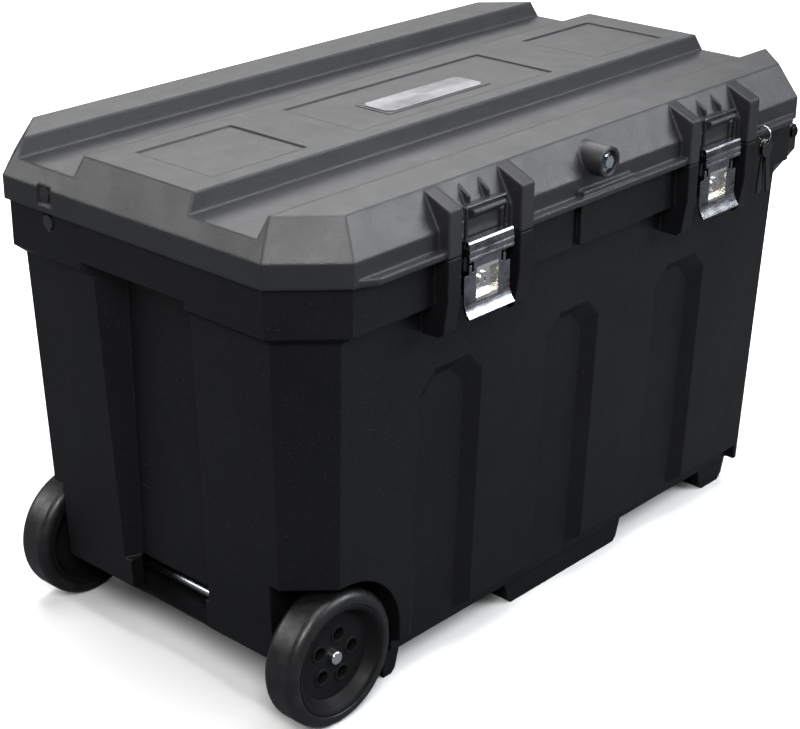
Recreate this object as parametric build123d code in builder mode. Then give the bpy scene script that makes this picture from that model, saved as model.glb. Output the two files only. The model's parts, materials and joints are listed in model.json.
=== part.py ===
from build123d import *
import os
from math import cos, radians, sin

# Wheeled job chest with a hip-sloped, channelled lid and two lockable draw latches.
# Millimetres. X runs along the length (wheels at -X, pull handle at +X), -Y is the latch
# side, +Z is up and the floor is z = 0. Everything is drawn about the lid's centre, and
# each finished piece is then moved so that the origin is under the middle of its box.

# ---- driving dimensions -----------------------------------------------------------
HEIGHT = 578.0                     # floor to the top of the lid
LID_X, LID_Y, LID_CORNER = 452.0, 261.0, 62.0      # half length, half depth, corner cut
TOP_X, TOP_Y, TOP_CORNER = 428.7, 238.5, 51.0      # the flat top of the lid
SEAM_Z, SKIRT_Z = 512.0, 538.5     # underside of the lid, top of its upright skirt
CHANNEL_Z = 557.0                  # floor of the two clamping channels
CHANNELS = ((-186.7, -82.4), (86.7, 186.7))
LID_CEILING_Z = 552.0

BAND_X, BAND_Y, BAND_CORNER = 447.0, 256.0, 60.0   # rim band of the tub
BAND_TOP_Z, BAND_LOW_Z, WALL_TOP_Z, TUB_Z = 510.5, 459.0, 448.5, 42.0
WALL_X, WALL_Y, WALL_CORNER = 435.0, 239.0, 49.0   # drafted wall under the band
BASE_X, BASE_Y, BASE_CORNER = 420.0, 224.0, 42.0   # foot of the drafted wall
WALL = 6.0
DRAFT = (WALL_Y - BASE_Y) / (WALL_TOP_Z - TUB_Z)

WHEEL_R, WHEEL_W, AXLE_R = 78.0, 45.0, 6.0
AXLE_X, AXLE_Z = -374.0, WHEEL_R
WHEEL_FACE_Y, WELL_Y, WELL_R, WELL_ROOF_Z = 227.0, 170.0, 90.0, 168.0

HINGE_Y, HINGE_Z, KNUCKLE_R, HINGE_PIN_R = 272.0, 512.0, 8.0, 4.0
HINGES_X = (-240.0, 240.0)
RUN = 0.05                         # running clearance on a radius

TOWERS = ((-269.0, -250.0), (-157.0, -137.0), (145.0, 163.0), (262.0, 282.0))
TOWER_Y = 274.0
LATCHES = {"left": -203.5, "right": 212.5}
LEVER_Y, LEVER_Z, LEVER_PIN_R = -263.0, 500.0, 2.5
BAIL_Y, BAIL_Z, BAIL_R, BAIL_HALF = -264.5, 489.0, 2.0, 31.0
BAIL_TOP_Y, BAIL_TOP_Z = -266.5, 555.2
LOCK_Z, LOCK_R = 471.5, 8.0

HANDLE_X, HANDLE_Z, HANDLE_THICK, HANDLE_PIN_R = 461.0, 470.0, 18.0, 4.0
HANDLE_Y, HANDLE_LOW_Z, HANDLE_EYE = 217.0, 401.0, 11.0

STAY_BODY, STAY_LID, STAY_LENGTH = (131.0, 500.0), (129.0, 531.0), 119.5
STAY_BOLT_R, STAY_EYE_R = 4.0, 8.0

TRAY_X, TRAY_HALF_Y, TRAY_CORNER = (-396.0, 14.0), 222.0, 30.0
TRAY_Z, TRAY_TOP_Z, TRAY_WALL = 394.5, 474.0, 3.5
LEDGE_Z = 394.0

KEY_X, KEY_HOLE_Y = 297.0, -265.5
KEY_RING_R, KEY_WIRE_R = 9.0, 0.9

ORIGIN = (10.0, -2.2, 0.0)         # middle of the footprint, measured about the lid


# ---- helpers ------------------------------------------------------------------------
def block(x, y, z, mode=Mode.ADD):
    """Box between the two limits of x, y and z."""
    with Locations(((x[0] + x[1]) / 2, (y[0] + y[1]) / 2, (z[0] + z[1]) / 2)):
        Box(abs(x[1] - x[0]), abs(y[1] - y[0]), abs(z[1] - z[0]), mode=mode)


def octagon(z, half_x, half_y, corner):
    """Level outline: a rectangle with its four corners cut off."""
    with BuildSketch(Plane.XY.offset(z)) as outline:
        Rectangle(2 * half_x, 2 * half_y)
        chamfer(outline.vertices(), length=corner)
    return outline.sketch


def shell_form(levels, mode=Mode.ADD):
    """Straight-sided solid through octagons, each (z, half_x, half_y, corner)."""
    loft([octagon(*level) for level in levels], ruled=True, mode=mode)


def along_x(points, x, mode=Mode.ADD):
    """A (y, z) outline, extruded from x[0] to x[1]."""
    with BuildSketch(Plane.YZ.offset(x[0])) as outline:
        with BuildLine():
            Polyline(*points, close=True)
        make_face()
    extrude(outline.sketch, amount=x[1] - x[0], mode=mode)


def along_y(points, y, mode=Mode.ADD):
    """An (x, z) outline, extruded from y[0] to y[1]."""
    with BuildSketch(Plane.XZ.offset(-y[1])) as outline:
        with BuildLine():
            Polyline(*points, close=True)
        make_face()
    extrude(outline.sketch, amount=y[1] - y[0], mode=mode)


def rod_x(centre, x, radius, mode=Mode.ADD):
    """Round bar along X about (y, z)."""
    with BuildSketch(Plane.YZ.offset(x[0])) as disc:
        with Locations(centre):
            Circle(radius)
    extrude(disc.sketch, amount=x[1] - x[0], mode=mode)


def rod_y(centre, y, radius, mode=Mode.ADD):
    """Round bar along Y about (x, z)."""
    with BuildSketch(Plane.XZ.offset(-y[1])) as disc:
        with Locations(centre):
            Circle(radius)
    extrude(disc.sketch, amount=y[1] - y[0], mode=mode)


def wheel_well(grow, mode=Mode.ADD):
    """Both wheel wells: an arch towards the middle and a flat roof towards the end."""
    for side in (-1, 1):
        y = sorted((side * (WELL_Y - grow), side * (BAND_Y + 10)))
        rod_y((AXLE_X, AXLE_Z), y, WELL_R + grow, mode)
        block((-BAND_X - 10, AXLE_X), y, (0, WELL_ROOF_Z + grow), mode)
        block((-BAND_X - 10, AXLE_X + WELL_R + grow), y, (0, AXLE_Z), mode)


def write(piece, name):
    """Move a finished piece to the origin that the object is used by, and save it."""
    piece.part.position = piece.part.position - Vector(*ORIGIN)
    piece.part.label = name
    export_step(piece.part, f"parts/{name}.step")


os.makedirs("parts", exist_ok=True)

# ---- tub ----------------------------------------------------------------------------
NICHES = ((-268.0, -167.0), (-58.0, 38.0), (146.0, 248.0))
NICHE_TOP_Z, NICHE_DEPTH, NICHE_SLOPE, NICHE_CUT = 376.0, 12.0, 16.0, 23.0
STRIP_Z = 64.0
BACKING = NICHE_DEPTH + WALL


def wall_y(z):
    """Half depth of the tub's outside wall at a height."""
    return BASE_Y + (z - TUB_Z) * DRAFT


def niche_outline(plane, x, inset):
    """A niche's outline in the plane of the wall, smaller by the inset."""
    left, right, top = x[0] + inset, x[1] - inset, NICHE_TOP_Z - TUB_Z - inset
    with BuildSketch(plane) as outline:
        with BuildLine():
            Polyline((left, -20), (right, -20), (right, top - NICHE_CUT),
                     (right - NICHE_CUT, top), (left + NICHE_CUT, top),
                     (left, top - NICHE_CUT), close=True)
        make_face()
    return outline.sketch


with BuildPart() as cavity:
    shell_form(((TUB_Z + WALL, BASE_X - 7, BASE_Y - 7, BASE_CORNER - 2),
                (WALL_TOP_Z - 2.5, WALL_X - 6.5, WALL_Y - 6.5, WALL_CORNER - 3),
                (BAND_LOW_Z - 2, BAND_X - 7, BAND_Y - 7, BAND_CORNER - 3),
                (BAND_TOP_Z + 2, BAND_X - 7, BAND_Y - 7, BAND_CORNER - 3)))
    wheel_well(WALL, Mode.SUBTRACT)
    # backing of the end bay and of the axle tunnel
    block((-460, -399), (-84, 88), (TUB_Z, 474), Mode.SUBTRACT)
    block((-460, -354), (-WELL_Y, WELL_Y), (TUB_Z, 117), Mode.SUBTRACT)
    for side in (-1, 1):
        # backing of the niches and of the base strip
        for niche in NICHES:
            span = (niche[0] - 2, niche[1] + 2)
            along_x([(side * 262, TUB_Z), (side * (BASE_Y - BACKING), TUB_Z),
                     (side * (wall_y(NICHE_TOP_Z + 6) - BACKING), NICHE_TOP_Z + 6),
                     (side * 262, NICHE_TOP_Z + 6)], span, Mode.SUBTRACT)
        along_x([(side * 262, TUB_Z), (side * (BASE_Y - BACKING), TUB_Z),
                 (side * (wall_y(STRIP_Z + 6) - BACKING), STRIP_Z + 6),
                 (side * 262, STRIP_Z + 6)], (-440, 440), Mode.SUBTRACT)
        # ledge that the tray slides on
        along_x([(side * 262, LEDGE_Z - 20), (side * 231, LEDGE_Z - 20),
                 (side * 217, LEDGE_Z - 6), (side * 217, LEDGE_Z),
                 (side * 262, LEDGE_Z)], (-440, 440), Mode.SUBTRACT)

FEET = ([(-281, 46), (-251, 46), (-262, 6), (-268, 0), (-281, 0)],
        [(-76, 46), (162, 46), (150, 6), (144, 0), (-58, 0), (-64, 6)],
        [(326, 46), (397, 46), (386, 8), (378, 0), (341, 0), (335, 6)])
FOOT_Y = 198.0

with BuildPart() as chest_body:
    shell_form(((TUB_Z, BASE_X, BASE_Y, BASE_CORNER),
                (WALL_TOP_Z, WALL_X, WALL_Y, WALL_CORNER),
                (BAND_LOW_Z, BAND_X, BAND_Y, BAND_CORNER),
                (BAND_TOP_Z, BAND_X, BAND_Y, BAND_CORNER)))
    # hollow feet under the floor
    for foot in FEET:
        along_y(foot, (-FOOT_Y, FOOT_Y))
    add(cavity.part, mode=Mode.SUBTRACT)
    block((-56, 142), (-FOOT_Y + 6, FOOT_Y - 6), (6, TUB_Z + WALL + 1), Mode.SUBTRACT)
    block((343, 376), (-FOOT_Y + 6, FOOT_Y - 6), (6, TUB_Z + WALL + 1), Mode.SUBTRACT)
    wheel_well(0, Mode.SUBTRACT)
    for side in (-1, 1):
        # the two long walls: recessed niches and a base strip at the same depth
        face = Plane(origin=(0, side * BASE_Y, TUB_Z), x_dir=(-side, 0, 0),
                     z_dir=(0, side, -DRAFT))
        for niche in NICHES:
            span = sorted(-side * x for x in niche)
            front = niche_outline(face.offset(1), span, -NICHE_SLOPE / NICHE_DEPTH)
            back = niche_outline(face.offset(-NICHE_DEPTH), span, NICHE_SLOPE)
            loft([front, back], ruled=True, mode=Mode.SUBTRACT)
        along_x([(side * 262, TUB_Z - 2), (side * (BASE_Y - NICHE_DEPTH), TUB_Z - 2),
                 (side * (wall_y(STRIP_Z) - NICHE_DEPTH), STRIP_Z - 8),
                 (side * 262, STRIP_Z + 16)], (-300, 372), Mode.SUBTRACT)
    # recessed bay in the wheel end, and the bevelled edge under it
    with BuildSketch(Plane.YZ.offset(-BAND_X - 1)) as bay_mouth:
        with Locations((1, 287)):
            Rectangle(164, 362)
    with BuildSketch(Plane.YZ.offset(-405)) as bay_floor:
        with Locations((-5, 283)):
            Rectangle(124, 344)
    loft([bay_mouth.sketch, bay_floor.sketch], ruled=True, mode=Mode.SUBTRACT)
    along_y([(-470, 75), (-421, 75), (-383, 42), (-383, 30), (-470, 30)],
            (-WELL_Y - 5, WELL_Y + 5), Mode.SUBTRACT)
    # axle tunnel, its mouth in the end wall, and the axle's bores
    block((-405, -360), (-164, 164), (67, 111), Mode.SUBTRACT)
    block((-460, -404), (-67, 57), (70, 112), Mode.SUBTRACT)
    rod_y((AXLE_X, AXLE_Z), (-180, 180), AXLE_R + RUN, Mode.SUBTRACT)
    # latch guards below the seam
    for tower in TOWERS:
        along_x([(-252, BAND_TOP_Z), (-TOWER_Y, BAND_TOP_Z), (-TOWER_Y, 468), (-268, 430),
                 (-262, 425), (-235, 425), (-235.5, 446), (-252, 458)], tower)
    # plate in the middle of the band, between two slots
    block((-38, 33), (-261, -254), (462, 508))
    for slot in ((-44, -38.6), (33.6, 39)):
        block(slot, (-257, -252), (462, 508), Mode.SUBTRACT)
    # hinge knuckles
    for hinge_x in HINGES_X:
        for span in ((hinge_x - 40, hinge_x - 15.5), (hinge_x + 15.5, hinge_x + 40)):
            along_x([(252, 468), (258, 468), (279, 507), (272, 512), (265.5, 510.5),
                     (252, 510.5)], span)
            rod_x((HINGE_Y, HINGE_Z), span, KNUCKLE_R)
            rod_x((HINGE_Y, HINGE_Z), span, HINGE_PIN_R + RUN, Mode.SUBTRACT)
    # brackets of the pull handle
    for side in (-1, 1):
        y = sorted((side * 197, side * 205))
        along_y([(428, 456), (448, 456), (472, 462), (472, 478), (467, 484), (428, 484)], y)
        rod_y((HANDLE_X, HANDLE_Z), y, HANDLE_PIN_R + RUN, Mode.SUBTRACT)
    # bolt holes of the lid stays, in shallow round recesses
    for side in (-1, 1):
        rod_x(STAY_BODY, sorted((side * 438, side * 450)), STAY_BOLT_R + RUN, Mode.SUBTRACT)
        rod_x(STAY_BODY, sorted((side * 445, side * 450)), 9.5, Mode.SUBTRACT)
write(chest_body, "chest_body")

# ---- axle and wheels ----------------------------------------------------------------
RIM_R, HUB_DISH_W, HUB_HOLE_RING, HUB_HOLE_R = 63.0, 31.0, 26.0, 7.6
HUB_FACE_Y = WHEEL_FACE_Y - WHEEL_W + HUB_DISH_W       # floor of the hub's outer dish

with BuildPart() as axle:
    rod_y((AXLE_X, AXLE_Z), (-HUB_FACE_Y - 3, HUB_FACE_Y + 3), AXLE_R)
write(axle, "axle")

with BuildPart() as axle_caps:
    for side in (-1, 1):
        rod_y((AXLE_X, AXLE_Z), sorted((side * (HUB_FACE_Y + 0.4), side * (HUB_FACE_Y + 6))), 8)
    fillet(axle_caps.edges().filter_by(GeomType.CIRCLE).sort_by(Axis.Y)[0], radius=2.6)
    fillet(axle_caps.edges().filter_by(GeomType.CIRCLE).sort_by(Axis.Y)[-1], radius=2.6)
    rod_y((AXLE_X, AXLE_Z), (-HUB_FACE_Y - 3, HUB_FACE_Y + 3), AXLE_R, Mode.SUBTRACT)
write(axle_caps, "axle_caps")

with BuildPart() as wheel_bushes:
    for side in (-1, 1):
        y = sorted((side * (WELL_Y + 0.2), side * (WHEEL_FACE_Y - WHEEL_W - 0.5)))
        rod_y((AXLE_X, AXLE_Z), y, 12)
        rod_y((AXLE_X, AXLE_Z), y, AXLE_R, Mode.SUBTRACT)
write(wheel_bushes, "wheel_bushes")

for side, place in ((-1, "front"), (1, "rear")):
    inner_y, axle_line = WHEEL_FACE_Y - WHEEL_W, Axis((AXLE_X, 0, AXLE_Z), (0, 1, 0))
    with BuildPart() as tyre:
        with BuildSketch(Plane.XY.offset(AXLE_Z)) as tread:
            with Locations((AXLE_X + (RIM_R + WHEEL_R) / 2, side * (inner_y + WHEEL_W / 2))):
                Rectangle(WHEEL_R - RIM_R, WHEEL_W - 1)
            fillet(tread.vertices().group_by(Axis.X)[-1], radius=11)
        revolve(axis=axle_line)
    write(tyre, f"tyre_{place}")
    with BuildPart() as hub:
        outline = [(AXLE_R + RUN, 0), (16, 0), (16, 14), (51, 14), (57, 3), (59, 1), (RIM_R, 1),
                   (RIM_R, 44), (60.5, 44), (57.5, 42.5), (51.5, 34), (49, HUB_DISH_W),
                   (AXLE_R + RUN, HUB_DISH_W)]
        with BuildSketch(Plane.XY.offset(AXLE_Z)) as half:
            with BuildLine():
                Polyline(*[(AXLE_X + r, side * (inner_y + w)) for r, w in outline], close=True)
            make_face()
        revolve(axis=axle_line)
        for step in range(5):
            turn = radians(78 + 72 * step)
            spot = (AXLE_X + HUB_HOLE_RING * cos(turn), AXLE_Z + HUB_HOLE_RING * sin(turn))
            rod_y(spot, sorted((side * (HUB_FACE_Y - 4), side * (HUB_FACE_Y + 1.5))),
                  HUB_HOLE_R + 2.2)
            rod_y(spot, sorted((side * (HUB_FACE_Y - 12), side * (HUB_FACE_Y + 2))),
                  HUB_HOLE_R, Mode.SUBTRACT)
    write(hub, f"wheel_hub_{place}")

# ---- lid ----------------------------------------------------------------------------
PLATE_X, PLATE_Y = (-95.0, 69.0), (-34.0, 10.0)
BOSS_X, BOSS_Z, BOSS_R = -14.0, 553.5, 17.0
SEAL_OUT, SEAL_IN = (446.0, 255.0, 59.4), (441.4, 250.4, 57.5)
RAMP = (LID_Y - TOP_Y) / (HEIGHT - SKIRT_Z)


def slope_y(z):
    """Half depth of the lid's sloped faces at a height."""
    return LID_Y - (z - SKIRT_Z) * RAMP


with BuildPart() as lid:
    shell_form(((SEAM_Z, LID_X, LID_Y, LID_CORNER), (SKIRT_Z, LID_X, LID_Y, LID_CORNER),
                (HEIGHT, TOP_X, TOP_Y, TOP_CORNER)))
    # latch guards and the raised lip along the front
    for tower in TOWERS:
        along_x([(-236, 575), (-240, 576), (-273, 562), (-TOWER_Y, 558), (-TOWER_Y, SEAM_Z),
                 (-250, SEAM_Z)], tower)
    with BuildSketch(Plane.XY.offset(SEAM_Z)) as lip:
        with BuildLine():
            Polyline((-389, -259), (-366, -271), (366, -271), (389, -259), close=True)
        make_face()
    extrude(lip.sketch, amount=7)
    block((-44, 48), (-268, -257), (SEAM_Z, 525))
    for pair in ((TOWERS[0][1], TOWERS[1][0]), (TOWERS[2][1], TOWERS[3][0])):
        block(pair, (-275, -LID_Y), (SEAM_Z - 1, 526), Mode.SUBTRACT)
    # keepers that the bails hook over, with two ribs above each
    for latch_x in LATCHES.values():
        along_x([(-246, 553.5), (-262, 552), (-271, 552.4), (-272.5, 549), (-262, 540),
                 (-254, 536)], (latch_x - 25, latch_x + 25))
        for rib_x in (latch_x - 16, latch_x + 14):
            along_x([(-238, 574), (-257, 562), (-257.5, 553), (-246, 552)],
                    (rib_x - 1.5, rib_x + 1.5))
    # round boss on the front slope
    rod_y((BOSS_X, BOSS_Z), (-278, -243), BOSS_R)
    rod_y((BOSS_X, BOSS_Z), (-279, -271), BOSS_R - 4, Mode.SUBTRACT)
    # two channels along the top, and shallow panels on the ridge between them
    for low, high in CHANNELS:
        along_x([(low, HEIGHT + 1), (low + 4, CHANNEL_Z), (high - 4, CHANNEL_Z),
                 (high, HEIGHT + 1)], (-LID_X - 1, LID_X + 1), Mode.SUBTRACT)
    for panel in ((-385, -250), (-170, 163), (252, 388)):
        block(panel, (-60, 58), (HEIGHT - 1.8, HEIGHT + 1), Mode.SUBTRACT)
    block((PLATE_X[0] - 5, PLATE_X[1] + 5), (PLATE_Y[0] - 4, PLATE_Y[1] + 4),
          (HEIGHT - 2, HEIGHT - 1))
    # hollow underside
    shell_form(((SEAM_Z - 1, 436, 245, 56), (SEAM_Z + 7, 436, 245, 56)), Mode.SUBTRACT)
    shell_form(((SEAM_Z + 6, 446, 255, 59.5), (SKIRT_Z, 446, 255, 59.5),
                (LID_CEILING_Z, 438.2, 247.4, 56)), Mode.SUBTRACT)
    for cell in range(4):
        x = (-370 + 187 * cell, -370 + 187 * cell + 179)
        for y, roof in (((-231, -193), 572), ((-76, 80), 571), ((193, 231), 572)):
            block(x, y, (LID_CEILING_Z - 1, roof), Mode.SUBTRACT)
    # groove of the seal
    shell_form(((SEAM_Z - 1, *SEAL_OUT), (SEAM_Z + 3.2, *SEAL_OUT)), Mode.SUBTRACT)
    shell_form(((SEAM_Z, *SEAL_IN), (SEAM_Z + 3.2, *SEAL_IN)))
    shell_form(((SEAM_Z - 1, 436, 245, 56), (SEAM_Z + 7, 436, 245, 56)), Mode.SUBTRACT)
    # hinge knuckles
    for hinge_x in HINGES_X:
        span = (hinge_x - 15, hinge_x + 15)
        along_x([(256, 514), (256, 534), (262, 534), (279, 515), (275, 508), (268, 508)], span)
        rod_x((HINGE_Y, HINGE_Z), span, KNUCKLE_R)
        rod_x((HINGE_Y, HINGE_Z), span, HINGE_PIN_R + RUN, Mode.SUBTRACT)
    # holes: centre bolt, lid stays and key ring
    rod_y((BOSS_X, BOSS_Z), (-280, -240), 4 + RUN, Mode.SUBTRACT)
    for side in (-1, 1):
        x = sorted((side * 444, side * 453))
        rod_x(STAY_LID, x, STAY_BOLT_R + RUN, Mode.SUBTRACT)
        block(sorted((side * 449.5, side * 453)), (118, 140), (520, 541), Mode.SUBTRACT)
    with Locations((KEY_X, KEY_HOLE_Y, SEAM_Z + 3.5)):
        Cylinder(3.2, 12, mode=Mode.SUBTRACT)
write(lid, "lid")

with BuildPart() as lid_seal:
    shell_form(((BAND_TOP_Z + 0.3, SEAL_OUT[0] - 0.3, SEAL_OUT[1] - 0.3, SEAL_OUT[2]),
                (SEAM_Z + 3, SEAL_OUT[0] - 0.3, SEAL_OUT[1] - 0.3, SEAL_OUT[2])))
    shell_form(((BAND_TOP_Z, SEAL_IN[0] + 0.3, SEAL_IN[1] + 0.3, SEAL_IN[2]),
                (SEAM_Z + 4, SEAL_IN[0] + 0.3, SEAL_IN[1] + 0.3, SEAL_IN[2])), Mode.SUBTRACT)
write(lid_seal, "lid_seal")

with BuildPart() as nameplate:
    with BuildSketch(Plane.XY.offset(HEIGHT - 1)) as plate:
        with Locations(((PLATE_X[0] + PLATE_X[1]) / 2, (PLATE_Y[0] + PLATE_Y[1]) / 2)):
            Rectangle(PLATE_X[1] - PLATE_X[0], PLATE_Y[1] - PLATE_Y[0])
        chamfer(plate.vertices(), length=7)
    extrude(amount=1)
write(nameplate, "nameplate")

with BuildPart() as centre_bolt:
    with BuildSketch(Plane.XZ.offset(272.6)) as head:
        with Locations((BOSS_X, BOSS_Z)):
            RegularPolygon(7.5, 6)
    extrude(amount=5.2)
    rod_y((BOSS_X, BOSS_Z), (-273, -241), 4)
write(centre_bolt, "centre_bolt")

with BuildPart() as centre_washer:
    rod_y((BOSS_X, BOSS_Z), (-272.6, -271), 11)
    rod_y((BOSS_X, BOSS_Z), (-273, -270), 4, Mode.SUBTRACT)
write(centre_washer, "centre_washer")

with BuildPart() as hinge_pins:
    for hinge_x in HINGES_X:
        rod_x((HINGE_Y, HINGE_Z), (hinge_x - 43, hinge_x + 43), HINGE_PIN_R)
        for end in ((hinge_x - 43, hinge_x - 40.2), (hinge_x + 40.2, hinge_x + 43)):
            rod_x((HINGE_Y, HINGE_Z), end, 6.5)
write(hinge_pins, "hinge_pins")

# ---- lid stays: two folding arms at each end ----------------------------------------
KNEE = (130 - 118.25, 515.5 - 7.63)      # where the two arms meet with the lid shut


def stay_arm(eye, x):
    """Flat steel arm from its bolt to the knee, with an eye at each end."""
    along = Vector(KNEE[0] - eye[0], KNEE[1] - eye[1], 0).normalized()
    across = Vector(-along.Y, along.X, 0) * 6
    corners = [(eye[0] + across.X, eye[1] + across.Y), (KNEE[0] + across.X, KNEE[1] + across.Y),
               (KNEE[0] - across.X, KNEE[1] - across.Y), (eye[0] - across.X, eye[1] - across.Y)]
    along_x(corners, x)
    for centre, bore in ((eye, STAY_BOLT_R + RUN), (KNEE, 3)):
        rod_x(centre, x, STAY_EYE_R)
        rod_x(centre, x, bore, Mode.SUBTRACT)


for side, end in ((-1, "left"), (1, "right")):
    with BuildPart() as lower_arm:
        stay_arm(STAY_BODY, sorted((side * 424, side * 426.5)))
    write(lower_arm, f"stay_lower_arm_{end}")
    with BuildPart() as upper_arm:
        stay_arm(STAY_LID, sorted((side * 429, side * 431.5)))
    write(upper_arm, f"stay_upper_arm_{end}")

with BuildPart() as stay_body_bolts:
    for side in (-1, 1):
        rod_x(STAY_BODY, sorted((side * 422, side * 446)), STAY_BOLT_R)
        rod_x(STAY_BODY, sorted((side * 421.4, side * 423.7)), 7)
        rod_x(STAY_BODY, sorted((side * 426.8, side * 440)), 6.5)
        rod_x(STAY_BODY, sorted((side * 445, side * 448.5)), 8)
write(stay_body_bolts, "stay_body_bolts")

with BuildPart() as stay_lid_bolts:
    for side in (-1, 1):
        rod_x(STAY_LID, sorted((side * 428, side * 450)), STAY_BOLT_R)
        rod_x(STAY_LID, sorted((side * 427.2, side * 428.7)), 7)
        rod_x(STAY_LID, sorted((side * 431.8, side * 446)), 6.5)
        rod_x(STAY_LID, sorted((side * 449.5, side * 451.8)), 7.5)
write(stay_lid_bolts, "stay_lid_bolts")

# ---- draw latches ---------------------------------------------------------------------
for name, cx in LATCHES.items():
    with BuildPart() as base:
        block((cx - 33, cx + 33), (-258, -BAND_Y), (458, 508))
        for side in (-1, 1):
            x = sorted((cx + side * 22, cx + side * 24))
            along_x([(-256.5, 494), (-256.5, 510), (-262, 511), (-262, 519), (-271, 519),
                     (-271, 508.5), (-268.5, 503), (-266.5, 494)], x)
            rod_x((LEVER_Y, LEVER_Z), x, LEVER_PIN_R, Mode.SUBTRACT)
        block((cx - 24, cx + 24), (-271, -269.5), (509, 519))
        block((cx - 24, cx + 24), (-271, -262), (517.5, 519))
    write(base, f"latch_base_{name}")

    with BuildPart() as lever:
        # front plate, narrow above for the bail and flared out below for the fingers
        along_x([(-269.5, 484), (-267.5, 484), (-267.5, 452), (-271.5, 442), (-276, 438),
                 (-277.5, 440), (-273.5, 445), (-269.5, 454)], (cx - 36, cx + 36))
        block((cx - 28.5, cx + 28.5), (-269.5, -267.5), (483, 494))
        along_x([(-269.5, 491), (-262, 496), (-262, 503), (-269.5, 502)], (cx - 21.4, cx + 21.4))
        rod_x((LEVER_Y, LEVER_Z), (cx - 21.4, cx + 21.4), 5)
        # lugs that hold the bail's ends
        for side in (-1, 1):
            x = sorted((cx + side * 26, cx + side * 28.5))
            block(x, (-268, -264.5), (484.5, 493.5))
            rod_x((BAIL_Y, BAIL_Z), x, 4.2)
            rod_x((BAIL_Y, BAIL_Z), x, BAIL_R + RUN, Mode.SUBTRACT)
            block(sorted((cx + side * 21.4, cx + side * 24.8)), (-271, -257), (486, 505),
                  Mode.SUBTRACT)
        rod_x((LEVER_Y, LEVER_Z), (cx - 22, cx + 22), LEVER_PIN_R + RUN, Mode.SUBTRACT)
        # sunken lock dish
        block((cx - 18.5, cx + 18.5), (-268.5, -260.8), (455.5, 487.5))
        block((cx - 17, cx + 17), (-271, -263.5), (457, 486), Mode.SUBTRACT)
        rod_y((cx, LOCK_Z), (-264, -260), LOCK_R + RUN, Mode.SUBTRACT)
    write(lever, f"latch_lever_{name}")

    with BuildPart() as plug:
        rod_y((cx, LOCK_Z), (-266.2, -261), LOCK_R)
        block((cx - 0.9, cx + 0.9), (-267, -264), (LOCK_Z - 4, LOCK_Z + 4), Mode.SUBTRACT)
        rod_y((cx, LOCK_Z + 3), (-267, -264), 1.6, Mode.SUBTRACT)
    write(plug, f"lock_plug_{name}")

    with BuildPart() as bail:
        with BuildLine() as wire:
            FilletPolyline((cx - 25.5, BAIL_Y, BAIL_Z), (cx - BAIL_HALF, BAIL_Y, BAIL_Z),
                           (cx - BAIL_HALF, BAIL_TOP_Y, BAIL_TOP_Z),
                           (cx + BAIL_HALF, BAIL_TOP_Y, BAIL_TOP_Z),
                           (cx + BAIL_HALF, BAIL_Y, BAIL_Z), (cx + 25.5, BAIL_Y, BAIL_Z), radius=2.4)
        with BuildSketch(Plane(origin=wire.line @ 0, z_dir=(-1, 0, 0))) as section:
            Circle(BAIL_R)
        sweep(path=wire.line)
    write(bail, f"latch_bail_{name}")

    # bright saddle across the bail's legs, with two pressed beads
    with BuildPart() as saddle:
        along_x([(-272.3, 500), (-274.6, 500.4), (-275.8, 503.2), (-274.6, 506), (-274.6, 507.4),
                 (-275.8, 510.2), (-274.6, 513), (-274.2, 519), (-272.6, 521.5), (-263, 521.5),
                 (-263, 519.9), (-271.8, 519.9), (-272.3, 518.5)], (cx - 35, cx + 35))
        for side in (-1, 1):
            x = sorted((cx + side * 28.7, cx + side * 35))
            block(x, (-272.4, -262.9), (506, 514))
            block(sorted((cx + side * (BAIL_HALF - 2.3), cx + side * (BAIL_HALF + 2.3))),
                  (-267.8, -262), (505, 523), Mode.SUBTRACT)
    write(saddle, f"latch_saddle_{name}")

with BuildPart() as latch_pins:
    for cx in LATCHES.values():
        rod_x((LEVER_Y, LEVER_Z), (cx - 25, cx + 25), LEVER_PIN_R)
write(latch_pins, "latch_pins")

with BuildPart() as latch_rivets:
    for cx in LATCHES.values():
        for x in (cx - 27, cx + 27):
            for z in (463, 478):
                rod_y((x, z), (-259.4, -258), 3)
write(latch_rivets, "latch_rivets")

# ---- pull handle ----------------------------------------------------------------------
EYE_IN_Y = HANDLE_Y - HANDLE_EYE
HALF_OUTLINE = [(HANDLE_Y, HANDLE_Z + 6), (HANDLE_Y, 446), (184, HANDLE_LOW_Z)]
HALF_INSIDE = [(176, HANDLE_LOW_Z + 23), (EYE_IN_Y, 450), (EYE_IN_Y, HANDLE_Z + 6)]

with BuildPart() as pull_handle:
    along_x([*HALF_OUTLINE, *[(-y, z) for y, z in HALF_OUTLINE[::-1]],
             *[(-y, z) for y, z in HALF_INSIDE[::-1]], *HALF_INSIDE],
            (HANDLE_X - HANDLE_THICK / 2, HANDLE_X + HANDLE_THICK / 2))
    for side in (-1, 1):
        rod_y((HANDLE_X, HANDLE_Z), sorted((side * EYE_IN_Y, side * HANDLE_Y)), 10.5)
        rod_y((HANDLE_X, HANDLE_Z), sorted((side * (EYE_IN_Y - 1), side * (HANDLE_Y + 1))),
              HANDLE_PIN_R + RUN, Mode.SUBTRACT)
write(pull_handle, "pull_handle")

with BuildPart() as handle_pins:
    for side in (-1, 1):
        rod_y((HANDLE_X, HANDLE_Z), sorted((side * 195.5, side * 220)), HANDLE_PIN_R)
        rod_y((HANDLE_X, HANDLE_Z), sorted((side * (HANDLE_Y + 0.6), side * 220.5)), 7)
write(handle_pins, "handle_pins")

# ---- tray -----------------------------------------------------------------------------
TRAY_MID, TRAY_HALF_X = (TRAY_X[0] + TRAY_X[1]) / 2, (TRAY_X[1] - TRAY_X[0]) / 2


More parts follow.
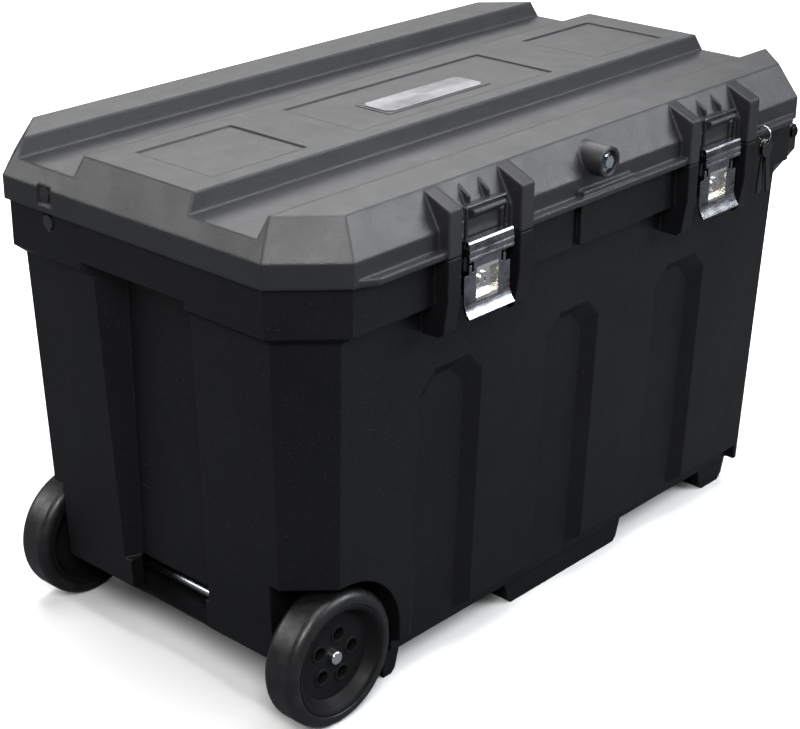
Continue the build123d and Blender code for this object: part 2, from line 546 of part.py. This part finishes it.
def tray_outline(z, inset):
    """The tray's level outline, with its corners cut to clear the tub's."""
    with BuildSketch(Plane.XY.offset(z)) as outline:
        with Locations((TRAY_MID, 0)):
            Rectangle(2 * (TRAY_HALF_X - inset), 2 * (TRAY_HALF_Y - inset))
        chamfer(outline.vertices(), length=TRAY_CORNER - 0.6 * inset)
    return outline.sketch


with BuildPart() as tray:
    extrude(tray_outline(TRAY_Z, 0), amount=TRAY_TOP_Z - TRAY_Z)
    extrude(tray_outline(TRAY_Z + TRAY_WALL, TRAY_WALL), amount=TRAY_TOP_Z, mode=Mode.SUBTRACT)
write(tray, "tray")

with BuildPart() as tray_divider:
    block((TRAY_X[0] + TRAY_WALL + 0.4, TRAY_X[1] - TRAY_WALL - 0.4), (-2, 2),
          (TRAY_Z + TRAY_WALL, TRAY_TOP_Z + 14))
    block((TRAY_MID - 55, TRAY_MID + 55), (-3, 3), (TRAY_TOP_Z - 18, TRAY_TOP_Z + 4),
          Mode.SUBTRACT)
write(tray_divider, "tray_divider")

# ---- keys -----------------------------------------------------------------------------
RING_Y, RING_Z = KEY_HOLE_Y - KEY_RING_R, SEAM_Z + 3.5

with BuildPart() as key_ring:
    with BuildSketch(Plane(origin=(KEY_X, RING_Y + KEY_RING_R, RING_Z), z_dir=(0, 0, 1))) as wire:
        Circle(KEY_WIRE_R)
    revolve(wire.sketch, Axis((KEY_X, RING_Y, RING_Z), (1, 0, 0)), 360)
write(key_ring, "key_ring")

with BuildPart() as keys:
    for key_y, tilt in ((RING_Y - 4, 9), (RING_Y - 1, -6)):
        hang = (KEY_X, RING_Z - KEY_RING_R)
        plane = Plane(origin=(hang[0], key_y, hang[1]), x_dir=(cos(radians(tilt)), 0, sin(radians(tilt))),
                      z_dir=(0, -1, 0))
        with BuildSketch(plane) as blank:
            with Locations((0, -8)):
                Circle(11)
            with Locations((0, -38)):
                Rectangle(8, 50)
            with Locations((5, -50), (5, -57)):
                Rectangle(4, 3.5)
            Circle(2.2, mode=Mode.SUBTRACT)
        extrude(blank.sketch, amount=2)
write(keys, "keys")
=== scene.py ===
"""Looks of a wheeled carpenter's job chest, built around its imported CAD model. Metres."""
import json
import math

import bpy
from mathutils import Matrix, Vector


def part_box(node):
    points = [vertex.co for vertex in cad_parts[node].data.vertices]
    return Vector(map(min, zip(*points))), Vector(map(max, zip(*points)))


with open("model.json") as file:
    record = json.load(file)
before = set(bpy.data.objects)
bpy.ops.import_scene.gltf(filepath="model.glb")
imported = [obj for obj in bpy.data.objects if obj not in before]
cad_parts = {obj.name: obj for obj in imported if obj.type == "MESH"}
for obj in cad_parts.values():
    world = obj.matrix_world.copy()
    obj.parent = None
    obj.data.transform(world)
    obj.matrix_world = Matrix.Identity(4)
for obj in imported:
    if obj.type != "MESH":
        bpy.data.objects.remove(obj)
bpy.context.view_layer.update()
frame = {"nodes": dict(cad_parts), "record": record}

NODES = frame["nodes"]

# ---- camera and light -------------------------------------------------------------------
CAMERA_PLACE = Vector((-1.6019, -1.4097, 1.1690))
CAMERA_AZIMUTH, CAMERA_ELEVATION = math.radians(47.02), math.radians(23.70)
CAMERA_LENS, CAMERA_SHIFT_X, CAMERA_SHIFT_Y = 85.25, 0.0271, -0.0042
CAMERA_SENSOR, CAMERA_REACH = 36.0, 60.0

WHITE, COOL_WHITE = (1.0, 1.0, 1.0), (0.92, 0.96, 1.0)
# name, place, target, size, watts, colour
LAMPS = (
    ("top_light", (0.3, 0.0, 3.4), (0.0, 0.0, 0.5), (3.0, 2.8), 150, WHITE),
    ("back_light", (1.9, 2.2, 2.4), (0.0, 0.0, 0.5), (2.6, 1.4), 40, WHITE),
    # mirrored in the lid's front slope, in its end slope and in its near corner
    ("slope_light", (1.40, -1.95, 1.6), (-0.3, -0.25, 0.5), (1.4, 1.0), 52, COOL_WHITE),
    ("end_light", (-1.8, 1.8, 1.5), (-0.4, 0.0, 0.5), (1.5, 1.1), 24, WHITE),
    ("front_light", (-2.1, -1.9, 2.5), (-0.3, -0.2, 0.5), (1.0, 1.2), 75, WHITE),
)
WORLD_SEEN, WORLD_LIT = 1.0, 0.22


def add_camera():
    """From the front left, a little above the lid."""
    data = bpy.data.cameras.new("camera")
    data.lens, data.sensor_width = CAMERA_LENS, CAMERA_SENSOR
    data.shift_x, data.shift_y = CAMERA_SHIFT_X, CAMERA_SHIFT_Y
    data.clip_end = CAMERA_REACH
    camera = bpy.data.objects.new("camera", data)
    bpy.context.scene.collection.objects.link(camera)
    camera.location = CAMERA_PLACE
    camera.rotation_euler = (math.pi / 2 - CAMERA_ELEVATION, 0.0, -CAMERA_AZIMUTH)
    bpy.context.scene.camera = camera


def add_area_light(name, place, target, size, watts, colour):
    """A soft rectangular lamp that points at a target."""
    data = bpy.data.lights.new(name, "AREA")
    data.shape, data.size, data.size_y = "RECTANGLE", size[0], size[1]
    data.energy, data.color = watts, colour
    lamp = bpy.data.objects.new(name, data)
    bpy.context.scene.collection.objects.link(lamp)
    lamp.location = place
    lamp.rotation_euler = (Vector(target) - Vector(place)).to_track_quat("-Z", "Y").to_euler()


def add_world(seen, lit):
    """White surroundings for the camera, dimmer ones as light so that blacks stay black."""
    world = bpy.data.worlds.new("world")
    world.use_nodes = True
    tree = world.node_tree
    background = tree.nodes["Background"]
    background.inputs["Color"].default_value = (*WHITE, 1.0)
    level = tree.nodes.new("ShaderNodeMapRange")
    level.inputs["To Min"].default_value = lit
    level.inputs["To Max"].default_value = seen
    rays = tree.nodes.new("ShaderNodeLightPath")
    tree.links.new(rays.outputs["Is Camera Ray"], level.inputs["Value"])
    tree.links.new(level.outputs["Result"], background.inputs["Strength"])
    bpy.context.scene.world = world


# ---- materials --------------------------------------------------------------------------
COLOUR_A, COLOUR_B, COLOUR_OUT = 6, 7, 2      # a mix node's colour sockets


class Material:
    """Small helper that builds one node material around a Principled shader."""

    def __init__(self, name):
        self.data = bpy.data.materials.new(name)
        self.data.use_nodes = True
        self.tree = self.data.node_tree
        self.shader = self.tree.nodes["Principled BSDF"]
        self.place = self.node("ShaderNodeTexCoord").outputs["Object"]

    def node(self, kind, **settings):
        made = self.tree.nodes.new(kind)
        for key, value in settings.items():
            setattr(made, key, value)
        return made

    def link(self, source, target):
        self.tree.links.new(source, target)

    def set(self, **sockets):
        """Constant values on the shader's own sockets."""
        for name, value in sockets.items():
            self.shader.inputs[name.replace("_", " ")].default_value = value

    def axes(self):
        """The object coordinates, one by one."""
        split = self.node("ShaderNodeSeparateXYZ")
        self.link(self.place, split.inputs["Vector"])
        return split.outputs

    def stretch(self, scale):
        """Object coordinates, stretched along the axes."""
        mapping = self.node("ShaderNodeMapping")
        mapping.inputs["Scale"].default_value = scale
        self.link(self.place, mapping.inputs["Vector"])
        return mapping.outputs["Vector"]

    def noise(self, scale, detail=3.0, rough=0.55, vector=None):
        texture = self.node("ShaderNodeTexNoise")
        texture.inputs["Scale"].default_value = scale
        texture.inputs["Detail"].default_value = detail
        texture.inputs["Roughness"].default_value = rough
        self.link(vector or self.place, texture.inputs["Vector"])
        return texture.outputs["Fac"]

    def ramp(self, source, low, high, out_low=0.0, out_high=1.0):
        """Source between low and high becomes out_low to out_high."""
        span = self.node("ShaderNodeMapRange")
        span.inputs["From Min"].default_value = low
        span.inputs["From Max"].default_value = high
        span.inputs["To Min"].default_value = out_low
        span.inputs["To Max"].default_value = out_high
        self.link(source, span.inputs["Value"])
        return span.outputs["Result"]

    def math(self, operation, a, b):
        made = self.node("ShaderNodeMath", operation=operation)
        for socket, value in zip(made.inputs, (a, b)):
            if isinstance(value, (int, float)):
                socket.default_value = value
            else:
                self.link(value, socket)
        return made.outputs["Value"]

    def mix(self, factor, a, b):
        """Colour between a and b; each is a colour or a socket."""
        made = self.node("ShaderNodeMix", data_type="RGBA")
        self.link(factor, made.inputs["Factor"])
        for socket, value in zip(made.inputs[COLOUR_A:COLOUR_B + 1], (a, b)):
            if isinstance(value, tuple):
                socket.default_value = (*value, 1.0)
            else:
                self.link(value, socket)
        return made.outputs[COLOUR_OUT]

    def bump(self, height, strength, distance, under=None):
        made = self.node("ShaderNodeBump")
        made.inputs["Strength"].default_value = strength
        made.inputs["Distance"].default_value = distance
        self.link(height, made.inputs["Height"])
        if under:
            self.link(under, made.inputs["Normal"])
        self.link(made.outputs["Normal"], self.shader.inputs["Normal"])
        return made.outputs["Normal"]

    def rounded(self, radius, samples=6):
        """Normals that turn softly over every edge, as on a moulding."""
        soft = self.node("ShaderNodeBevel", samples=samples)
        soft.inputs["Radius"].default_value = radius
        return soft.outputs["Normal"]

    def edges(self, radius, low=0.01, high=0.12):
        """1 on sharp edges, 0 on flats."""
        flat = self.node("ShaderNodeNewGeometry").outputs["Normal"]
        dot = self.node("ShaderNodeVectorMath", operation="DOT_PRODUCT")
        self.link(self.rounded(radius), dot.inputs[0])
        self.link(flat, dot.inputs[1])
        return self.ramp(self.math("SUBTRACT", 1.0, dot.outputs["Value"]), low, high)


# noise patterns: scale per metre, detail, roughness
MOTTLES, SPECKS, SCRATCHES = (5.0, 4.0, 0.6), (420.0, 2.0, 0.6), (9.0, 6.0, 0.75)
RUBBING_AND_SHEEN, PATCHES = (60.0, 4.0, 0.7), (14.0, 5.0, 0.65)
FLOW, PEBBLES = (22.0, 2.0, 0.5), (520.0, 4.0, 0.65)
SMEARS, BRUSHING, PITS = (60.0, 5.0, 0.65), (900.0, 2.0, 0.5), (220.0, 3.0, 0.6)
DUST, HANDLING, PORES = (45.0, 5.0, 0.7), (90.0, 3.0, 0.6), (900.0, 2.0, 0.5)
# how the lines among them run
SCRATCH_STRETCH, FLOW_STRETCH = (1.0, 1.0, 14.0), (1.0, 1.0, 0.22)
BRUSH_STRETCH = (0.06, 1.0, 1.0)

RUB_AND_HIGHLIGHT_WIDTH = 0.0015                            # of the rubbed line along an edge, which is also a painted highlight
SPECK_SHARE, RUB_AND_HIGHLIGHT_SHARE, SCRATCH_SHARE = 0.35, 0.5, 0.25
FLOW_LEAST, FLOW_DEPTH, PEBBLE_DEPTH = 0.05, 0.003, 0.0007
PIT_STRENGTH, PIT_DEPTH = 0.12, 0.0004
PORE_STRENGTH, PORE_DEPTH = 0.2, 0.0005


def moulded_plastic(name, dark, light, scuff_and_sheen, rough, grain, streaks=0.0, gloss=0.5,
                    corner=0.0015):
    """Black structural foam: pebble grain, flow mottling, rubbed edges that also carry a
    painted highlight, and small scratches.
    """
    m = Material(name)
    mottle = m.ramp(m.noise(*MOTTLES), 0.35, 0.7)
    colour = m.mix(mottle, dark, light)
    speck = m.ramp(m.noise(*SPECKS), 0.66, 0.74)
    colour = m.mix(m.math("MULTIPLY", speck, SPECK_SHARE), colour, scuff_and_sheen)
    scratch = m.ramp(m.noise(*SCRATCHES, m.stretch(SCRATCH_STRETCH)), 0.66, 0.72)
    # rubbed edges: wear, and also a painted highlight along every sharp edge, in the scuff
    # colour
    rub_and_highlight = m.math("MULTIPLY", m.edges(RUB_AND_HIGHLIGHT_WIDTH), m.ramp(m.noise(*RUBBING_AND_SHEEN), 0.5, 0.72))
    worn_and_highlit = m.math("MAXIMUM", m.math("MULTIPLY", rub_and_highlight, RUB_AND_HIGHLIGHT_SHARE),
                  m.math("MULTIPLY", scratch, SCRATCH_SHARE))
    m.link(m.mix(worn_and_highlit, colour, scuff_and_sheen), m.shader.inputs["Base Color"])
    patchy = m.ramp(m.noise(*PATCHES), 0.3, 0.7, rough - 0.07, rough + 0.09)
    m.link(patchy, m.shader.inputs["Roughness"])
    m.set(Specular_IOR_Level=gloss)
    waves = m.bump(m.noise(*FLOW, m.stretch(FLOW_STRETCH)), FLOW_LEAST + streaks, FLOW_DEPTH,
                   m.rounded(corner))
    m.bump(m.noise(*PEBBLES), grain, PEBBLE_DEPTH, waves)
    return m.data


def plated_steel(name, bright, dull, rough, anisotropic=0.0, region=None, region_colour=None):
    """Plated steel with fine brushing, smears and small pits.

    The region is a function of the material that gives 1 where it has a colour of its own."""
    m = Material(name)
    smear = m.ramp(m.noise(*SMEARS), 0.35, 0.7)
    colour = m.mix(smear, bright, dull)
    if region:
        colour = m.mix(region(m), colour, region_colour)
    m.link(colour, m.shader.inputs["Base Color"])
    lines = m.noise(*BRUSHING, m.stretch(BRUSH_STRETCH))
    m.link(m.ramp(lines, 0.3, 0.7, rough * 0.7, rough * 1.5), m.shader.inputs["Roughness"])
    m.set(Metallic=1.0, Anisotropic=anisotropic)
    m.bump(m.noise(*PITS), PIT_STRENGTH, PIT_DEPTH)
    return m.data


def rubber(name, dark, light, rough):
    """Black rubber or soft moulding with patches of dust."""
    m = Material(name)
    dust = m.ramp(m.noise(*DUST), 0.45, 0.75)
    m.link(m.mix(dust, dark, light), m.shader.inputs["Base Color"])
    m.link(m.ramp(m.noise(*HANDLING), 0.3, 0.7, rough - 0.08, rough + 0.1),
           m.shader.inputs["Roughness"])
    m.bump(m.noise(*PORES), PORE_STRENGTH, PORE_DEPTH)
    return m.data


# where the regions lie, in metres; the dish's is a little taller than the dish itself
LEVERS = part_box("latch_lever_left"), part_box("latch_lever_right")
LATCH_X = [(low.x + high.x) / 2 for low, high in LEVERS]
LATCH_MIDDLE, LATCH_SPREAD = sum(LATCH_X) / 2, (LATCH_X[1] - LATCH_X[0]) / 2
DISH_HALF_WIDTH, DISH_LOW, DISH_HIGH = 0.0165, 0.4535, 0.4895
HANDLE_END_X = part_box("handle_pins")[0].x
KEY_TOP_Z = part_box("keys")[1].z
FADE = 0.001                                  # width of a region's soft edge


def lock_dish(m):
    """1 in the sunken dish round each lock."""
    x, z = m.axes()["X"], m.axes()["Z"]
    off_middle = m.math("ABSOLUTE", m.math("SUBTRACT", x, LATCH_MIDDLE), 0.0)
    off_lock = m.math("ABSOLUTE", m.math("SUBTRACT", off_middle, LATCH_SPREAD), 0.0)
    across = m.ramp(off_lock, DISH_HALF_WIDTH, DISH_HALF_WIDTH + FADE, 1.0, 0.0)
    low = m.ramp(z, DISH_LOW - FADE / 2, DISH_LOW)
    high = m.ramp(z, DISH_HIGH, DISH_HIGH + FADE / 2, 1.0, 0.0)
    return m.math("MULTIPLY", across, m.math("MULTIPLY", low, high))


def handle_end(m):
    """1 on the blackened pins of the pull handle."""
    return m.ramp(m.axes()["X"], HANDLE_END_X - FADE, HANDLE_END_X)


def hanging_keys(m):
    """1 on the keys, 0 on the ring that they hang from."""
    return m.ramp(m.axes()["Z"], KEY_TOP_Z - FADE, KEY_TOP_Z, 1.0, 0.0)


# by material slot: dark and light mottling, the colour of scuffs and of the painted edge
# highlight, roughness, grain, flow streaks, gloss, and the radius of the moulding's corners
PLASTICS = {
    # the chest's plastic is darker than the lid's: a painted shade for its walls
    "chest_plastic": dict(dark=(0.0036, 0.0038, 0.0046), light=(0.0062, 0.0064, 0.0072),
                          scuff_and_sheen=(0.085, 0.085, 0.09), rough=0.44, grain=0.45, gloss=0.24,
                          corner=0.003),
    # the lid's plastic is lighter than the chest's: a painted light for its top faces
    "lid_plastic": dict(dark=(0.014, 0.0145, 0.016), light=(0.021, 0.0215, 0.024),
                        scuff_and_sheen=(0.13, 0.13, 0.14), rough=0.38, grain=0.55, streaks=0.30,
                        corner=0.0045),
    "tray_plastic": dict(dark=(0.016, 0.016, 0.017), light=(0.022, 0.022, 0.024),
                         scuff_and_sheen=(0.08, 0.08, 0.08), rough=0.42, grain=0.2),
    "wheel_plastic": dict(dark=(0.005, 0.005, 0.0055), light=(0.009, 0.009, 0.010),
                          scuff_and_sheen=(0.05, 0.05, 0.05), rough=0.46, grain=0.2, gloss=0.15),
    "handle_black": dict(dark=(0.006, 0.006, 0.0065), light=(0.010, 0.010, 0.011),
                         scuff_and_sheen=(0.06, 0.06, 0.06), rough=0.38, grain=0.2),
}

METALS = {
    "plate_aluminium": dict(bright=(0.27, 0.27, 0.28), dull=(0.20, 0.20, 0.21), rough=0.46,
                            anisotropic=0.5),
    "bright_steel": dict(bright=(0.66, 0.69, 0.73), dull=(0.46, 0.49, 0.53), rough=0.26,
                         region=handle_end, region_colour=(0.02, 0.02, 0.022)),
    "axle_chrome": dict(bright=(0.88, 0.89, 0.90), dull=(0.72, 0.73, 0.75), rough=0.12),
    "arm_zinc": dict(bright=(0.62, 0.63, 0.64), dull=(0.48, 0.49, 0.50), rough=0.34),
    # the latch chrome's colours are darkened well below chrome: a painted shade, so that its
    # foot and saddle mirror less of the lamps
    "latch_chrome": dict(bright=(0.30, 0.31, 0.33), dull=(0.12, 0.125, 0.135), rough=0.23,
                         region=lock_dish, region_colour=(0.90, 0.87, 0.80)),
    "lock_steel": dict(bright=(0.74, 0.74, 0.74), dull=(0.5, 0.5, 0.5), rough=0.22),
    "key_metal": dict(bright=(0.80, 0.79, 0.77), dull=(0.6, 0.59, 0.58), rough=0.2,
                      region=hanging_keys, region_colour=(0.10, 0.098, 0.095)),
}

RUBBERS = {
    "seal_rubber": dict(dark=(0.008, 0.008, 0.008), light=(0.02, 0.02, 0.02), rough=0.7),
    "bolt_black": dict(dark=(0.012, 0.012, 0.013), light=(0.03, 0.03, 0.03), rough=0.3),
    "black_wire": dict(dark=(0.008, 0.008, 0.009), light=(0.02, 0.02, 0.02), rough=0.24),
    "wheel_rubber": dict(dark=(0.007, 0.007, 0.0078), light=(0.016, 0.016, 0.016), rough=0.36),
}

MATERIALS = {}
for make, looks in ((moulded_plastic, PLASTICS), (plated_steel, METALS), (rubber, RUBBERS)):
    for slot, look in looks.items():
        MATERIALS[slot] = make(slot, **look)

# ---- edges --------------------------------------------------------------------------------
# width of the moulded or bent edge of each kind of part
EDGE_WIDTH = {"chest_plastic": 0.0022, "lid_plastic": 0.0022, "tray_plastic": 0.001,
              "latch_chrome": 0.0005, "handle_black": 0.0006, "wheel_rubber": 0.002,
              "wheel_plastic": 0.001, "plate_aluminium": 0.0003, "bright_steel": 0.0004,
              "key_metal": 0.0003, "arm_zinc": 0.0004, "lock_steel": 0.0004}
MERGE_WITHIN = 0.00001
BEVEL_FROM = math.radians(24)                 # edges that turn less are left alone
BEVEL_STEPS = 3


def soften_edges(node, width):
    """Rounded edges on a CAD node: merged, then bevelled as far as its faces allow."""
    weld = node.modifiers.new("weld", "WELD")
    weld.merge_threshold = MERGE_WITHIN
    bevel = node.modifiers.new("bevel", "BEVEL")
    bevel.width, bevel.segments, bevel.limit_method = width, BEVEL_STEPS, "ANGLE"
    bevel.angle_limit = BEVEL_FROM
    bevel.use_clamp_overlap = True
    bevel.miter_outer = "MITER_ARC"
    normals = node.modifiers.new("normals", "WEIGHTED_NORMAL")
    normals.keep_sharp = False
    custom = node.data.attributes.get("custom_normal")
    if custom:
        node.data.attributes.remove(custom)
    node.data.shade_smooth()


for entry in frame["record"]["subparts"]:
    node, slot = NODES[entry["node"]], entry["material_slot"]
    node.data.materials.clear()
    node.data.materials.append(MATERIALS[slot])
    if slot in EDGE_WIDTH:
        soften_edges(node, EDGE_WIDTH[slot])

# ---- stage --------------------------------------------------------------------------------
FLOOR_SIZE = 30.0
FLOOR_SEEN, FLOOR_MIRRORED = (0.97, 0.97, 0.97), (0.12, 0.125, 0.135)
GLOW_FROM, GLOW_TO, GLOW_LEVEL = 0.5, 1.6, 0.9     # metres from the middle, strength of the floor's painted glow

bpy.ops.mesh.primitive_plane_add(size=FLOOR_SIZE, location=(0, 0, 0))
floor = bpy.context.object
floor.name = "floor"
floor_look = Material("floor")
floor_look.link(floor_look.ramp(floor_look.noise(3.0), 0.3, 0.7, 0.55, 0.65),
                floor_look.shader.inputs["Roughness"])
# pale to the eye and glowing brighter far from the chest, a painted glow, but painted dark in
# what the plastic mirrors and in the light it bounces, a painted shade
seen = floor_look.node("ShaderNodeLightPath").outputs["Is Camera Ray"]
floor_look.link(floor_look.mix(seen, FLOOR_MIRRORED, FLOOR_SEEN),
                floor_look.shader.inputs["Base Color"])
reach = floor_look.node("ShaderNodeVectorMath", operation="LENGTH")
floor_look.link(floor_look.place, reach.inputs[0])
# painted glow: for the camera the floor emits white light, more the farther it lies from the
# chest
painted_glow = floor_look.ramp(reach.outputs["Value"], GLOW_FROM, GLOW_TO, 0.0, GLOW_LEVEL)
floor_look.link(floor_look.math("MULTIPLY", painted_glow, seen),
                floor_look.shader.inputs["Emission Strength"])
floor_look.set(Specular_IOR_Level=0.1, Emission_Color=(*WHITE, 1.0))
floor.data.materials.append(floor_look.data)

add_camera()
add_world(WORLD_SEEN, WORLD_LIT)
for lamp in LAMPS:
    add_area_light(*lamp)
bpy.context.scene.view_settings.view_transform = "Standard"
